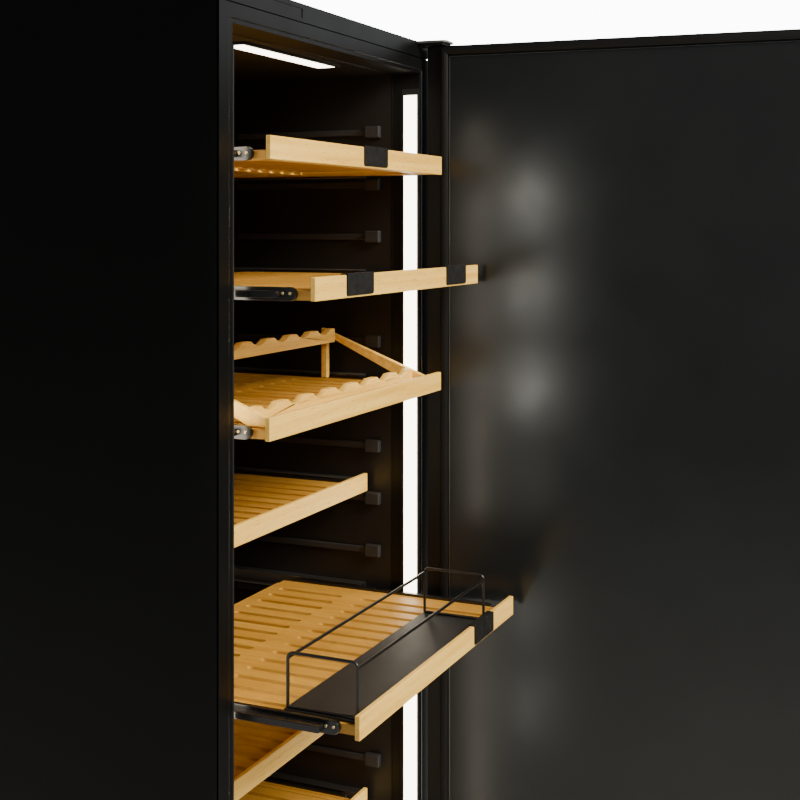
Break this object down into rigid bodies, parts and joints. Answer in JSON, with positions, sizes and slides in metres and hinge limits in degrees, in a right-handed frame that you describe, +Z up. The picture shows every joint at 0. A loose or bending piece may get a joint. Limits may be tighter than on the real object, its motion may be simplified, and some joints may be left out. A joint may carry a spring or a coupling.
{
  "type": "wine cooler",
  "caption": "Tall free-standing wine cooler with a hinged door, pull-out slatted shelves, a wire rack, a display support and strip lights.",
  "frame": {"origin": "on the floor, under the middle of the cabinet's footprint without its door", "axes": "+X to the hinge side, +Y to the back, +Z up"},
  "size_m": [0.8692, 1.4488, 2.044],
  "materials": {
    "cabinet_black": "satin",
    "frame_grey": "satin",
    "liner": "satin",
    "zinc": "satin",
    "foam": "matte",
    "black_plastic": "matte",
    "light": "glowing strip",
    "rib": "matte",
    "fins": "satin",
    "filter": "matte",
    "compressor_black": "gloss",
    "board_green": "gloss",
    "bracket_black": "satin",
    "cover_grey": "satin",
    "trim": "satin",
    "door_panel": "satin",
    "gasket": "matte",
    "handle": "brushed",
    "bush": "satin",
    "beech": "satin",
    "runner": "satin",
    "slate": "matte",
    "rack_wire": "satin",
    "rack_plate": "matte"
  },
  "bodies": {
    "cabinet": {"side_panels": "cabinet_black", "top_cover": "frame_grey", "rear_panel": "cabinet_black", "base_tray": "zinc", "insulation_foam": "foam", "inner_liner": "liner", "front_frame": "frame_grey", "plinth_grille": "black_plastic", "levelling_feet": "zinc", "light_housings": "black_plastic", "light_diffusers": "light", "support_ribs": "rib", "slide_rails": "zinc", "air_duct_panel": "liner", "evaporator": "fins", "fan_motor": "black_plastic", "charcoal_filter": "filter", "compressor": "compressor_black", "condenser": "compressor_black", "control_board": "board_green", "power_inlet": "black_plastic", "hinge_brackets": "bracket_black", "hinge_cover": "cover_grey", "bottom_deck": "beech", "shelf_8": "beech"},
    "door": {"door_outer_panel": "cabinet_black", "door_core": "foam", "door_inner_frame": "trim", "door_inner_panel": "door_panel", "door_gasket": "gasket", "door_handle": "handle", "door_hinge_bushes": "bush"},
    "fan": {"fan_rotor": "black_plastic"},
    "shelf_1": {"shelf_1_front": "beech", "shelf_1_deck": "beech", "shelf_1_runners": "runner", "shelf_1_tag": "slate"},
    "shelf_2": {"shelf_2_front": "beech", "shelf_2_deck": "beech", "shelf_2_runners": "runner", "shelf_2_tags": "slate"},
    "shelf_3": {"shelf_3_front": "beech", "shelf_3_deck": "beech", "shelf_3_runners": "runner", "display_support": "beech"},
    "shelf_4": {"shelf_4_front": "beech", "shelf_4_deck": "beech", "shelf_4_runners": "runner"},
    "shelf_5": {"shelf_5_front": "beech", "shelf_5_deck": "beech", "shelf_5_runners": "runner", "shelf_5_tag": "slate", "bottle_rack": "rack_wire", "rack_base": "rack_plate"},
    "shelf_6": {"shelf_6_front": "beech", "shelf_6_deck": "beech", "shelf_6_runners": "runner"},
    "shelf_7": {"shelf_7_front": "beech", "shelf_7_deck": "beech", "shelf_7_runners": "runner"}
  },
  "joints": [
    {"name": "door_swing", "type": "hinge", "parent": "cabinet", "child": "door", "pos_m": [0.36, -0.371, 1.07], "axis": [0, 0, 1], "range_deg": [-5, 20]},
    {"name": "fan_spin", "type": "hinge", "parent": "cabinet", "child": "fan", "pos_m": [0, 0.25, 1.706], "axis": [0, 1, 0], "continuous": true},
    {"name": "shelf_1_slide", "type": "slide", "parent": "cabinet", "child": "shelf_1", "axis": [0, -1, 0], "range_m": [-0.1545, 0.2255]},
    {"name": "shelf_2_slide", "type": "slide", "parent": "cabinet", "child": "shelf_2", "axis": [0, -1, 0], "range_m": [-0.2265, 0.1535]},
    {"name": "shelf_3_slide", "type": "slide", "parent": "cabinet", "child": "shelf_3", "axis": [0, -1, 0], "range_m": [-0.153, 0.227]},
    {"name": "shelf_4_slide", "type": "slide", "parent": "cabinet", "child": "shelf_4", "axis": [0, -1, 0], "range_m": [0, 0.38]},
    {"name": "shelf_5_slide", "type": "slide", "parent": "cabinet", "child": "shelf_5", "axis": [0, -1, 0], "range_m": [-0.2955, 0.0845]},
    {"name": "shelf_6_slide", "type": "slide", "parent": "cabinet", "child": "shelf_6", "axis": [0, -1, 0], "range_m": [0, 0.38]},
    {"name": "shelf_7_slide", "type": "slide", "parent": "cabinet", "child": "shelf_7", "axis": [0, -1, 0], "range_m": [0, 0.38]}
  ]
}
